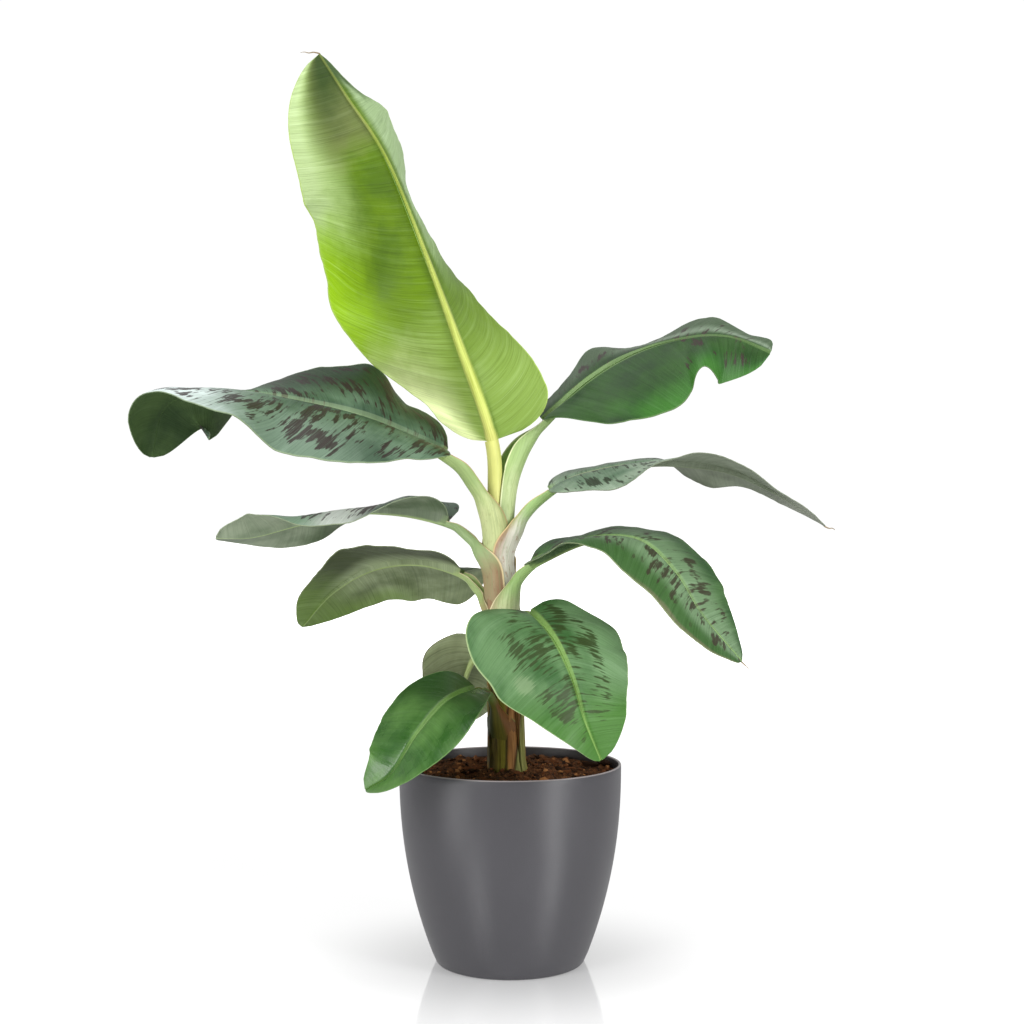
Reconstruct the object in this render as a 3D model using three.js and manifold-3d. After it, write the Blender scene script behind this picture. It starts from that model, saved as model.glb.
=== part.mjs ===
// A young banana plant in a plain round indoor pot: one pseudostem, ten leaves.
// Millimetres, +Z up. The origin is the centre of the pot's flat underside,
// +X is the side of the low right-hand leaf and -Y is the front.
import * as THREE from "three";
import { mergeVertices } from "three/addons/utils/BufferGeometryUtils.js";
import Module from "manifold-3d";

const wasm = await Module();
wasm.setup();

// ---- fit between touching pieces ----
const GAP = 0.3;

// ---- pot: thin plastic tub whose wall bellies out to an upright rim ----
const POT_HEIGHT = 213;
const POT_RIM_RADIUS = 120;
const POT_FOOT_RADIUS = 80;
const POT_BELLY = 2.2; // power of the inward curve towards the foot
const POT_WALL = 3;
const POT_FLOOR = 4;
const POT_FOOT_ROUNDING = 5;
const POT_LEVELS = 6;
const POT_SIDES = 40;

// ---- root ball: moist potting mix, a little mounded round the stem ----
const SOIL_EDGE_HEIGHT = 202;
const SOIL_STEM_HEIGHT = 205;
const SOIL_MOUND_RADIUS = 32;

// ---- pseudostem: [x, y, height above the underside, radius] up to the fork ----
const STEM_BASE = SOIL_STEM_HEIGHT + GAP;
const STEM_SECTIONS = [
  [-3, 0, STEM_BASE, 23],
  [-3, 0, 217, 20.5],
  [-5, 0, 275, 19.5],
  [-7, 0, 330, 17],
  [-10, 0, 385, 15.5],
  [-12, 0, 425, 15.5],
  [-13, 0, 446, 12.5],
];
const STEM_SIDES = 20;

// ---- leaf stalks and blades ----
const STALK_SIDES = 10;
const STALK_RINGS = 9;
const BLADE_COLUMNS = 3; // strips from the midrib to each margin
const BLADE_STATION_LENGTH = 24; // spacing of the cross sections along a blade
const BASE_ROUNDING = 0.08; // share of the length in which the blade opens out
const TIP_ROUNDING = 0.16; // share of the length in which it closes again
const TIP_RIB = 1.5;
const THICKNESS_SHARE = 0.0105; // blade thickness as a share of its length
const MIN_THICKNESS = 2;
const FLAT_BEND = 1e-4;

// ---- finishes ----
const POT_FINISH = { color: 0x58585a, roughness: 0.5, metalness: 0 };
const SOIL_FINISH = { color: 0x4b3526, roughness: 0.95, metalness: 0 };
const STEM_FINISH = { color: 0x55502f, roughness: 0.6, metalness: 0 };
const STALK_FINISH = { color: 0x9fb077, roughness: 0.55, metalness: 0 };
const YOUNG_BLADE = { color: 0x9dbb3f, roughness: 0.5, metalness: 0 };
const DARK_BLADE = { color: 0x41604a, roughness: 0.5, metalness: 0 };
const OLIVE_BLADE = { color: 0x5f7448, roughness: 0.6, metalness: 0 };
const GREEN_BLADE = { color: 0x4c8a4c, roughness: 0.5, metalness: 0 };

// Leaves from the youngest down to the oldest. `path` runs from inside the stem
// along stalk and midrib to the tip; the blade opens at point `blade`.
// `heading` is the compass side the leaf grows to (0 = +X, 90 = +Y), `stalk` its
// radius at stem and blade. Per half, in even steps from base to tip: `wide` is
// the half width, `lift` its angle above level, `bow` how far it arches over.
const LEAVES = [
  {
    name: "leaf_1", heading: -90, blade: 2, stalk: [9, 6.5], finish: YOUNG_BLADE,
    path: [[-12, -1, 425], [-12, -8, 497], [-17, -14, 561], [-49, -30, 650],
      [-84, -48, 747], [-127, -64, 851], [-171, -62, 919], [-201, -42, 968]],
    left: { wide: [65, 70, 80, 85, 95, 95, 90, 70, 45],
      lift: [0, 25, 60, 78, 88, 90, 75, 60, 60], bow: 20 },
    right: { wide: [50, 70, 95, 115, 128, 116, 100, 75, 50],
      lift: [40, 36, 16, 12, 28, 28, 20, 20, 10], bow: 20 },
  },
  {
    name: "leaf_2", heading: -160, blade: 3, stalk: [9.5, 6], finish: DARK_BLADE,
    path: [[-13, -3, 412], [-19, -16, 475], [-38, -30, 518], [-67, -45, 546],
      [-140, -70, 580], [-210, -90, 598], [-279, -104, 608], [-325, -108, 603],
      [-357, -100, 580], [-377, -80, 534]],
    left: { wide: [45, 60, 75, 88, 92, 86, 84, 60, 36],
      lift: [-10, -30, -38, -40, -42, -24, 0, 30, 20], bow: -40 },
    right: { wide: [45, 60, 88, 86, 82, 88, 68, 52, 32],
      lift: [45, 34, 42, 32, 20, -5, -45, -70, -75], bow: -20 },
  },
  {
    name: "leaf_3", heading: 5, blade: 3, stalk: [9, 6], finish: DARK_BLADE,
    path: [[-10, 3, 425], [0, 5, 497], [13, 4, 551], [36, 2, 584], [85, 10, 629],
      [138, 20, 660], [191, 25, 675], [241, 15, 675], [282, 0, 657]],
    left: { wide: [25, 42, 60, 74, 75, 70, 55, 40, 30],
      lift: [20, 12, 14, 18, 6, 10, 28, 30, 50], bow: -10 },
    right: { wide: [40, 65, 80, 85, 85, 75, 56, 50, 40],
      lift: [-5, -40, -50, -55, -56, -50, -40, -70, -90], bow: -26 },
  },
  {
    name: "leaf_4", heading: 175, blade: 3, stalk: [9, 5], finish: DARK_BLADE,
    path: [[-12, -3, 372], [-28, -2, 432], [-46, 8, 462], [-68, 16, 474],
      [-121, 30, 485], [-183, 40, 485], [-242, 44, 470], [-288, 38, 456],
      [-323, 24, 455]],
    left: { wide: [25, 36, 48, 50, 52, 53, 50, 44, 30],
      lift: [50, 26, 0, -15, -15, -5, 15, 35, 50], bow: -60 },
    right: { wide: [60, 58, 54, 50, 46, 46, 44, 35, 26],
      lift: [20, 15, 16, 0, -16, -30, -24, -10, -10], bow: -10 },
  },
  {
    name: "leaf_5", heading: -5, blade: 3, stalk: [9, 5], finish: DARK_BLADE,
    path: [[-8, -3, 380], [2, -8, 443], [23, -14, 488], [56, -20, 518],
      [96, -26, 531], [138, -32, 537], [177, -38, 537], [233, -40, 528],
      [281, -34, 505], [336, -20, 469]],
    left: { wide: [25, 36, 45, 52, 60, 56, 44, 32, 22],
      lift: [15, 6, 4, 4, -14, -20, -10, -10, 0], bow: -10 },
    right: { wide: [30, 42, 54, 54, 50, 45, 37, 30, 24],
      lift: [-15, -26, -26, -8, 10, 8, 0, 4, 0], bow: -10 },
  },
  {
    name: "leaf_6", heading: 140, blade: 3, stalk: [8.5, 5], finish: OLIVE_BLADE,
    path: [[-9, 2, 325], [-24, 8, 377], [-36, 16, 401], [-53, 24, 418],
      [-101, 60, 429], [-155, 95, 421], [-203, 120, 394], [-242, 130, 350]],
    left: { wide: [26, 45, 58, 62, 63, 58, 48, 40, 28],
      lift: [40, 22, 15, 15, 15, 6, 2, 0, -5], bow: -10 },
    right: { wide: [40, 78, 88, 70, 62, 56, 49, 38, 26],
      lift: [5, -20, -35, -36, -38, -30, -24, -12, 5], bow: -15 },
  },
  {
    name: "leaf_7", heading: -35, blade: 3, stalk: [8.5, 5], finish: GREEN_BLADE,
    path: [[-6, -2, 330], [2, -14, 389], [15, -24, 422], [37, -36, 438],
      [84, -60, 457], [134, -85, 455], [169, -100, 423], [195, -108, 380],
      [235, -105, 332]],
    left: { wide: [30, 44, 56, 60, 61, 59, 53, 42, 30],
      lift: [40, 18, 12, 6, 4, 5, 10, 8, 0], bow: -15 },
    right: { wide: [34, 46, 56, 64, 61, 54, 44, 34, 24],
      lift: [-14, -12, -6, -10, -14, -14, -10, -4, 5], bow: -15 },
  },
  {
    name: "leaf_8", heading: -65, blade: 3, stalk: [8, 5], finish: GREEN_BLADE,
    path: [[-5, -3, 290], [-1, -21, 347], [5, -38, 370], [19, -62, 379],
      [43, -120, 359], [62, -150, 320], [74, -160, 278], [89, -158, 240]],
    left: { wide: [22, 45, 72, 79, 79, 70, 56, 42, 27],
      lift: [40, 12, 0, -10, -12, -15, -10, 0, 8], bow: -20 },
    right: { wide: [30, 62, 85, 88, 81, 74, 46, 24, 14],
      lift: [8, 8, 0, -10, -10, -10, -10, 10, 15], bow: -20 },
  },
  {
    name: "leaf_9", heading: 120, blade: 3, stalk: [6.5, 4], finish: OLIVE_BLADE,
    path: [[-5, 4, 264], [-13, 20, 311], [-19, 32, 330], [-27, 46, 333],
      [-43, 66, 315], [-56, 86, 282], [-74, 98, 244]],
    left: { wide: [20, 38, 55, 55, 51, 46, 36, 22, 14],
      lift: [50, 30, 12, 0, 0, 0, 0, 0, 4], bow: -10 },
    right: { wide: [14, 24, 36, 44, 51, 52, 45, 33, 22],
      lift: [-30, -15, 0, 0, 0, -4, -8, -14, -20], bow: -10 },
  },
  {
    name: "leaf_10", heading: -125, blade: 3, stalk: [6.5, 4], finish: GREEN_BLADE,
    path: [[-5, -4, 232], [-17, -24, 278], [-26, -36, 293], [-36, -50, 298],
      [-67, -85, 289], [-96, -112, 257], [-119, -122, 221], [-145, -118, 203]],
    left: { wide: [21, 35, 49, 53, 51, 45, 36, 26, 18],
      lift: [0, 0, 0, 0, -4, 0, 14, 30, 40], bow: -15 },
    right: { wide: [21, 37, 50, 53, 52, 46, 38, 31, 21],
      lift: [42, 26, 10, 4, 2, 2, 8, 20, 25], bow: -15 },
  },
];

const radians = THREE.MathUtils.degToRad;

// Smooth value at `place` (0 = first entry) of a list of numbers.
function smooth(values, place) {
  const last = values.length - 1;
  const i = Math.min(Math.max(Math.floor(place), 0), last - 1);
  const t = place - i;
  const b = values[i];
  const c = values[i + 1];
  const a = i > 0 ? values[i - 1] : 2 * b - c;
  const d = i + 2 <= last ? values[i + 2] : 2 * c - b;
  return 0.5 * (2 * b + (c - a) * t + (2 * a - 5 * b + 4 * c - d) * t * t
    + (3 * b - a - 3 * c + d) * t * t * t);
}

function pathPoint(path, place) {
  const part = (axis) => smooth(path.map((point) => point[axis]), place);
  return new THREE.Vector3(part(0), part(1), part(2));
}

// Even steps along the path from point `start` to point `end`, each with its
// direction and the distance covered since the start.
function walk(path, start, end, steps) {
  const FINE = 240;
  const places = [];
  const lengths = [0];
  for (let k = 0; k <= FINE; k++) {
    places.push(start + ((end - start) * k) / FINE);
  }
  for (let k = 1; k <= FINE; k++) {
    const chord = pathPoint(path, places[k]).distanceTo(pathPoint(path, places[k - 1]));
    lengths.push(lengths[k - 1] + chord);
  }
  const total = lengths[FINE];
  const stations = [];
  for (let n = 0; n <= steps; n++) {
    const length = (total * n) / steps;
    let k = 1;
    while (k < FINE && lengths[k] < length) k++;
    const share = (length - lengths[k - 1]) / (lengths[k] - lengths[k - 1]);
    const place = places[k - 1] + (places[k] - places[k - 1]) * share;
    const before = pathPoint(path, Math.max(place - 0.01, 0));
    const after = pathPoint(path, Math.min(place + 0.01, path.length - 1));
    stations.push({
      point: pathPoint(path, place),
      along: after.sub(before).normalize(),
      share: n / steps,
    });
  }
  return { stations, total };
}

// Closed skin over a row of rings that all turn the same way round their path.
function loft(rings, capFaces) {
  const size = rings[0].length;
  const positions = rings.flat().flatMap((point) => [point.x, point.y, point.z]);
  const index = [];
  for (let ring = 0; ring < rings.length - 1; ring++) {
    for (let k = 0; k < size; k++) {
      const a = ring * size + k;
      const b = ring * size + ((k + 1) % size);
      index.push(a, b, b + size, a, b + size, a + size);
    }
  }
  const last = (rings.length - 1) * size;
  for (const [a, b, c] of capFaces) {
    index.push(a, c, b, last + a, last + b, last + c);
  }
  const geometry = new THREE.BufferGeometry();
  geometry.setAttribute("position", new THREE.Float32BufferAttribute(positions, 3));
  geometry.setIndex(index);
  return geometry;
}

function fan(size) {
  return Array.from({ length: size - 2 }, (_, k) => [0, k + 1, k + 2]);
}

function circle(centre, side, up, radius, sides) {
  return Array.from({ length: sides }, (_, k) => {
    const turn = (2 * Math.PI * k) / sides;
    return centre.clone()
      .addScaledVector(side, radius * Math.cos(turn))
      .addScaledVector(up, radius * Math.sin(turn));
  });
}

// Unit vectors across a leaf (to its left) and out of its upper face.
function leafFrame(along, heading) {
  const turn = radians(heading);
  const side = new THREE.Vector3(-Math.sin(turn), Math.cos(turn), 0);
  side.addScaledVector(along, -side.dot(along)).normalize();
  return { side, up: new THREE.Vector3().crossVectors(along, side) };
}

function stemGeometry(extra) {
  const xAxis = new THREE.Vector3(1, 0, 0);
  const yAxis = new THREE.Vector3(0, 1, 0);
  const last = STEM_SECTIONS.length - 1;
  const rings = STEM_SECTIONS.map(([x, y, z, radius], k) => {
    const centre = new THREE.Vector3(x, y, z + (k === last ? extra : 0));
    return circle(centre, xAxis, yAxis, radius + extra, STEM_SIDES);
  });
  return loft(rings, fan(STEM_SIDES));
}

// Round stalk that tapers from the stem to the foot of the blade.
function stalkGeometry(leaf, extra) {
  const { stations } = walk(leaf.path, 0, leaf.blade, STALK_RINGS);
  const rings = stations.map(({ point, along, share }) => {
    const { side, up } = leafFrame(along, leaf.heading);
    const radius = THREE.MathUtils.lerp(leaf.stalk[0], leaf.stalk[1], share);
    return circle(point, side, up, radius + extra, STALK_SIDES);
  });
  return loft(rings, fan(STALK_SIDES));
}

// How far the blade has opened at a share of its length: round at both ends.
function opening(share) {
  const base = Math.min(share / BASE_ROUNDING, 1);
  const tip = Math.min((1 - share) / TIP_ROUNDING, 1);
  return Math.sqrt(1 - (1 - base) ** 2) * Math.sqrt(1 - (1 - tip) ** 2);
}

// One blade half in section: offsets across and up at a share of its width,
// and the slope it has there.
function halfSection(half, share, rib, widthShare) {
  const place = share * (half.wide.length - 1);
  const width = rib + opening(share) * smooth(half.wide, place);
  const bend = radians(half.bow) || FLAT_BEND;
  const start = radians(smooth(half.lift, place)) - bend / 2;
  const slope = start + bend * widthShare;
  return {
    across: (width * (Math.sin(slope) - Math.sin(start))) / bend,
    up: (width * (Math.cos(start) - Math.cos(slope))) / bend,
    slope,
    ribShare: rib / width,
  };
}

// Blade of even thickness with the midrib standing out below it.
function bladeGeometry(leaf) {
  const end = leaf.path.length - 1;
  const length = walk(leaf.path, leaf.blade, end, 1).total;
  const steps = Math.ceil(length / BLADE_STATION_LENGTH);
  const { stations } = walk(leaf.path, leaf.blade + GAP / length * end, end, steps);
  const thickness = Math.max(length * THICKNESS_SHARE, MIN_THICKNESS);
  const rings = stations.map(({ point, along, share }) => {
    const { side, up } = leafFrame(along, leaf.heading);
    const rib = THREE.MathUtils.lerp(leaf.stalk[1], TIP_RIB, share);
    const top = [];
    const bottom = [];
    const place = (half, sign, widthShare, ribDepth) => {
      const section = halfSection(half, share, rib, widthShare);
      const middle = point.clone()
        .addScaledVector(side, sign * section.across)
        .addScaledVector(up, section.up);
      const normal = widthShare === 0
        ? up.clone()
        : up.clone().multiplyScalar(Math.cos(section.slope))
          .addScaledVector(side, -sign * Math.sin(section.slope));
      top.push(middle.clone().addScaledVector(normal, thickness / 2));
      bottom.push(middle.addScaledVector(normal, -thickness / 2 - ribDepth));
    };
    const ribDepth = Math.max(rib * 1.3 - thickness / 2, 0);
    const shares = (half) => {
      const ribShare = halfSection(half, share, rib, 1).ribShare;
      const list = [];
      for (let k = BLADE_COLUMNS; k >= 0; k--) {
        list.push(ribShare + ((1 - ribShare) * k) / BLADE_COLUMNS);
      }
      return list;
    };
    shares(leaf.left).forEach((widthShare) => place(leaf.left, 1, widthShare, 0));
    place(leaf.left, 1, 0, ribDepth);
    shares(leaf.right).reverse()
      .forEach((widthShare) => place(leaf.right, -1, widthShare, 0));
    return [...top, ...bottom.reverse()];
  });
  const size = rings[0].length;
  const capFaces = [];
  for (let k = 0; k < size / 2 - 1; k++) {
    capFaces.push([k, k + 1, size - 2 - k], [k, size - 2 - k, size - 1 - k]);
  }
  return loft(rings, capFaces);
}

function potRadius(height) {
  return POT_RIM_RADIUS
    - (POT_RIM_RADIUS - POT_FOOT_RADIUS) * (1 - height / POT_HEIGHT) ** POT_BELLY;
}

// Points of the pot wall, set in by `inset`, from one height to another.
function wallProfile(from, to, inset) {
  return Array.from({ length: POT_LEVELS + 1 }, (_, k) => {
    const height = from + ((to - from) * k) / POT_LEVELS;
    return new THREE.Vector2(potRadius(height) - inset, height);
  });
}

function turned(profile) {
  const geometry = new THREE.LatheGeometry(profile, POT_SIDES);
  geometry.rotateX(Math.PI / 2);
  return closed(geometry);
}

function closed(geometry) {
  geometry.deleteAttribute("normal");
  geometry.deleteAttribute("uv");
  return mergeVertices(geometry, 1e-4);
}

function potGeometry() {
  const foot = POT_FOOT_ROUNDING;
  const flat = POT_FOOT_RADIUS - foot / 2;
  return turned([
    new THREE.Vector2(0, 0),
    new THREE.Vector2(flat, 0),
    ...wallProfile(foot, POT_HEIGHT, 0),
    new THREE.Vector2(POT_RIM_RADIUS - POT_WALL, POT_HEIGHT),
    ...wallProfile(POT_FLOOR, SOIL_EDGE_HEIGHT, POT_WALL).reverse(),
    new THREE.Vector2(0, POT_FLOOR),
  ]);
}

function rootBallGeometry() {
  const bottom = POT_FLOOR + GAP;
  return turned([
    new THREE.Vector2(0, bottom),
    ...wallProfile(bottom, SOIL_EDGE_HEIGHT, POT_WALL + GAP),
    new THREE.Vector2(SOIL_MOUND_RADIUS, SOIL_STEM_HEIGHT),
    new THREE.Vector2(0, SOIL_STEM_HEIGHT),
  ]);
}

function toSolid(geometry) {
  const skin = closed(geometry);
  const mesh = new wasm.Mesh({
    numProp: 3,
    vertProperties: new Float32Array(skin.attributes.position.array),
    triVerts: new Uint32Array(skin.index.array),
  });
  return new wasm.Manifold(mesh);
}

function toGeometry(solid) {
  const mesh = solid.getMesh();
  const geometry = new THREE.BufferGeometry();
  const positions = new Float32Array(mesh.vertProperties);
  geometry.setAttribute("position", new THREE.BufferAttribute(positions, 3));
  geometry.setIndex(new THREE.BufferAttribute(new Uint32Array(mesh.triVerts), 1));
  return geometry;
}

function largestPiece(solid) {
  const pieces = solid.decompose();
  return pieces.reduce((best, piece) => (piece.volume() > best.volume() ? piece : best));
}

const plant = new THREE.Group();
plant.name = "banana_plant";

function addNode(name, geometry, finish) {
  geometry.computeVertexNormals();
  const mesh = new THREE.Mesh(geometry, new THREE.MeshStandardMaterial(finish));
  mesh.name = name;
  plant.add(mesh);
}

addNode("pot", potGeometry(), POT_FINISH);
addNode("root_ball", rootBallGeometry(), SOIL_FINISH);
addNode("trunk", stemGeometry(0), STEM_FINISH);

// Each stalk is sheathed round the stem and round the younger stalks inside it.
let core = toSolid(stemGeometry(GAP));
for (const leaf of LEAVES) {
  const stalk = largestPiece(toSolid(stalkGeometry(leaf, 0)).subtract(core));
  addNode(`${leaf.name}_petiole`, toGeometry(stalk), STALK_FINISH);
  addNode(`${leaf.name}_blade`, bladeGeometry(leaf), leaf.finish);
  core = core.add(toSolid(stalkGeometry(leaf, GAP)));
}

export default plant;
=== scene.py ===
import math
import random

import bpy
import numpy as np
from mathutils import Matrix, Vector, bvhtree, noise


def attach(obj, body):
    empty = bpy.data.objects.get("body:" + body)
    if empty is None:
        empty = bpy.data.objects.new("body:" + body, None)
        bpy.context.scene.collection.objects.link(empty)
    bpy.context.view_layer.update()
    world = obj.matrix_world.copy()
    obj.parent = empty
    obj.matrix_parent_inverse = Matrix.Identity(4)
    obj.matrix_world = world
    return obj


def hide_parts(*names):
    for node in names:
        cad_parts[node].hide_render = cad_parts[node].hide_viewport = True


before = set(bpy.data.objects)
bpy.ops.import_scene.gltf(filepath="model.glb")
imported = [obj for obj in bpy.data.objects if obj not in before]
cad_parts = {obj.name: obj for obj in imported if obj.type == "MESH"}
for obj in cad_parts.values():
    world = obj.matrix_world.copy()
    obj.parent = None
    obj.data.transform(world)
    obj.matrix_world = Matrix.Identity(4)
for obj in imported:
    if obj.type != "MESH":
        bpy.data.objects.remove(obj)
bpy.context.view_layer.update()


# ---------------------------------------------------------------------------
# Pot. A round tub moulded in one piece from anthracite plastic. Its 3 mm wall
# bellies out from a rounded foot to an upright rim, and it carries the rest.
POT_HEIGHT = 0.213
POT_RIM_RADIUS = 0.120
POT_FOOT_RADIUS = 0.080
POT_BELLY = 2.2
POT_WALL = 0.003
POT_FLOOR = 0.004
POT_SIDES = 128
POT_WALL_RINGS = 32
POT_INNER_RINGS = 16
# the rounding of the foot: steps out from its radius, and heights
POT_FOOT = [(-0.0070, 0.0), (-0.0030, 0.0), (-0.0012, 0.0004), (0.0001, 0.0017)]
POT_FOOT_TOP = 0.005
RIM_ROUNDING = 0.0015
RIM_BELOW = 0.0014


def pot_radius(height):
    rise = 1 - height / POT_HEIGHT
    return POT_RIM_RADIUS - (POT_RIM_RADIUS - POT_FOOT_RADIUS) * rise ** POT_BELLY


def paint(red, green, blue):
    """A colour as it is seen, 0 to 255 a channel, turned into the light it gives off."""
    def channel(value):
        value /= 255
        return value / 12.92 if value <= 0.04045 else ((value + 0.055) / 1.055) ** 2.4
    return (channel(red), channel(green), channel(blue), 1.0)


class Finish:
    """One surface finish: each call mixes one more node into it and returns its output."""

    def __init__(self, name, roughness, specular=0.5):
        self.material = bpy.data.materials.new(name)
        self.material.use_nodes = True
        self.tree = self.material.node_tree
        self.shader = self.tree.nodes["Principled BSDF"]
        self.set("Roughness", roughness)
        self.set("Specular IOR Level", specular)

    def feed(self, socket, value):
        """Links or sets a socket; a colour of three numbers is taken as seen."""
        if isinstance(value, bpy.types.NodeSocket):
            self.tree.links.new(value, socket)
        elif socket.type == "RGBA" and len(value) == 3:
            socket.default_value = paint(*value)
        elif value is not None:
            socket.default_value = value

    def set(self, name, value):
        self.feed(self.shader.inputs[name], value)

    def node(self, kind, inputs, output=0, **settings):
        made = self.tree.nodes.new(kind)
        for name, value in settings.items():
            setattr(made, name, value)
        for key, value in inputs.items():
            self.feed(made.inputs[key], value)
        return made.outputs[output]

    def reckon(self, operation, first, second=None):
        return self.node("ShaderNodeMath", {0: first, 1: second}, operation=operation)

    def plus(self, first, second):
        return self.reckon("ADD", first, second)

    def minus(self, first, second):
        return self.reckon("SUBTRACT", first, second)

    def times(self, first, second):
        return self.reckon("MULTIPLY", first, second)

    def sway(self, value, reach):
        """A noise turned into a shift either way of nothing, reach from end to end."""
        return self.times(self.minus(value, 0.5), reach)

    def step(self, value, low, high, lowest=0.0, highest=1.0):
        """Rises softly from lowest to highest while value goes from low to high."""
        inputs = {"Value": value, "From Min": low, "From Max": high,
                  "To Min": lowest, "To Max": highest}
        return self.node("ShaderNodeMapRange", inputs, interpolation_type="SMOOTHSTEP")

    def mix(self, factor, first, second):
        inputs = {0: factor, 6: first, 7: second}
        return self.node("ShaderNodeMix", inputs, output=2, data_type="RGBA")

    def toned(self, colour, value, saturation):
        inputs = {"Value": value, "Saturation": saturation, "Color": colour}
        return self.node("ShaderNodeHueSaturation", inputs)

    def place(self):
        return self.node("ShaderNodeTexCoord", {}, output=3)

    def chart(self, name):
        """Both coordinates of one of the piece's own UV maps."""
        uv = self.node("ShaderNodeUVMap", {}, uv_map=name)
        split = self.node("ShaderNodeSeparateXYZ", {0: uv}).node
        return split.outputs[0], split.outputs[1]

    def point(self, x, x_scale, y, y_scale, z=0.0):
        """A place in a noise, from two values that are each stretched by a scale."""
        inputs = {0: self.times(x, x_scale), 1: self.times(y, y_scale), 2: z}
        return self.node("ShaderNodeCombineXYZ", inputs)

    def grain(self, where, scale=1.0, detail=3.0, rough=0.55, warp=0.0):
        inputs = {"Vector": where, "Scale": scale, "Detail": detail,
                  "Roughness": rough, "Distortion": warp}
        return self.node("ShaderNodeTexNoise", inputs)

    def relief(self, height, depth, strength=1.0):
        inputs = {"Height": height, "Distance": depth, "Strength": strength}
        self.set("Normal", self.node("ShaderNodeBump", inputs))


def nothing_selected():
    if bpy.context.object and bpy.context.object.mode != "OBJECT":
        bpy.ops.object.mode_set(mode="OBJECT")
    bpy.ops.object.select_all(action="DESELECT")


def only(piece):
    nothing_selected()
    bpy.context.view_layer.objects.active = piece
    piece.select_set(True)


class Turning:
    """A skin raised ring by ring from a disc, as the profile of a turned shape runs."""

    def __init__(self, name, radius, height, sides):
        nothing_selected()
        bpy.ops.mesh.primitive_circle_add(
            vertices=sides, radius=radius, fill_type="TRIFAN", location=(0, 0, height))
        bpy.ops.object.transform_apply(location=True)
        self.piece = bpy.context.object
        self.piece.name = self.piece.data.name = name
        self.radius, self.height = radius, height
        bpy.ops.object.mode_set(mode="EDIT")
        bpy.ops.mesh.select_mode(type="EDGE")
        bpy.ops.mesh.select_all(action="DESELECT")
        bpy.ops.mesh.select_non_manifold()

    def ring(self, radius, height):
        rise = {"value": (0, 0, height - self.height)}
        bpy.ops.mesh.extrude_region_move(TRANSFORM_OT_translate=rise)
        grow = radius / self.radius
        bpy.ops.transform.resize(value=(grow, grow, 1), center_override=(0, 0, height))
        self.radius, self.height = radius, height

    def close(self):
        """Draws the last ring together into the middle and turns all faces outwards."""
        bpy.ops.mesh.merge(type="CENTER")
        bpy.ops.mesh.select_all(action="SELECT")
        bpy.ops.mesh.remove_doubles(threshold=1e-6)
        bpy.ops.mesh.normals_make_consistent(inside=False)
        bpy.ops.object.mode_set(mode="OBJECT")
        return self.piece


pot_skin = Turning("pot_shell", POT_FOOT_RADIUS + POT_FOOT[0][0], POT_FOOT[0][1], POT_SIDES)
for out, height in POT_FOOT[1:]:
    pot_skin.ring(POT_FOOT_RADIUS + out, height)
for level in range(1, POT_WALL_RINGS + 1):
    height = POT_FOOT_TOP + (POT_HEIGHT - RIM_BELOW - POT_FOOT_TOP) * level / POT_WALL_RINGS
    pot_skin.ring(pot_radius(height), height)
for turn in range(30, 181, 30):
    pot_skin.ring(POT_RIM_RADIUS - RIM_ROUNDING + RIM_ROUNDING * math.cos(math.radians(turn)),
                  POT_HEIGHT - RIM_ROUNDING + RIM_ROUNDING * math.sin(math.radians(turn)))
for level in range(1, POT_INNER_RINGS + 1):
    height = POT_HEIGHT - RIM_ROUNDING
    height -= (POT_HEIGHT - RIM_ROUNDING - POT_FLOOR) * level / POT_INNER_RINGS
    pot_skin.ring(pot_radius(height) - POT_WALL, height)
pot_skin.ring(0.002, POT_FLOOR)
pot_shell = pot_skin.close()
bpy.ops.object.shade_smooth_by_angle(angle=math.radians(50))

plastic = Finish("anthracite_plastic", roughness=0.41, specular=0.56)
mottle = plastic.grain(plastic.place(), scale=14, detail=4)
speck = plastic.grain(plastic.place(), scale=900, detail=2)
speckled = plastic.plus(plastic.times(mottle, 0.55), plastic.times(speck, 0.35))
charcoal = plastic.mix(speckled, (54, 53, 57), (68, 67, 72))
place_height = plastic.node("ShaderNodeSeparateXYZ", {0: plastic.place()}, output=2)
level_place = plastic.node(
    "ShaderNodeVectorMath", {0: plastic.place(), 1: (1, 1, 0)}, operation="MULTIPLY")
off_axis = plastic.node("ShaderNodeVectorMath", {0: level_place}, output=1, operation="LENGTH")
# the inside, where it shows above the mix, is painted darker and browner, and the top of the rim is painted
# pale, a painted highlight
near_rim = plastic.step(place_height, 0.17, 0.18, 0.0, 0.8)
within = plastic.step(off_axis, POT_RIM_RADIUS - 0.0030, POT_RIM_RADIUS - 0.0026, 1.0, 0.0)
charcoal = plastic.mix(plastic.times(near_rim, within), charcoal, (34, 28, 26))
# painted highlight: a pale line along the top of the rim
rim_highlight = plastic.step(place_height, POT_HEIGHT - RIM_BELOW, POT_HEIGHT - 0.0004)
plastic.set("Base Color", plastic.mix(rim_highlight, charcoal, (150, 142, 142)))
plastic.set("Roughness", plastic.step(mottle, 0.3, 0.7, 0.38, 0.44))
plastic.relief(speck, 0.00012, 0.5)
pot_shell.data.materials.append(plastic.material)
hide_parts("pot")
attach(pot_shell, "root")


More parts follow.
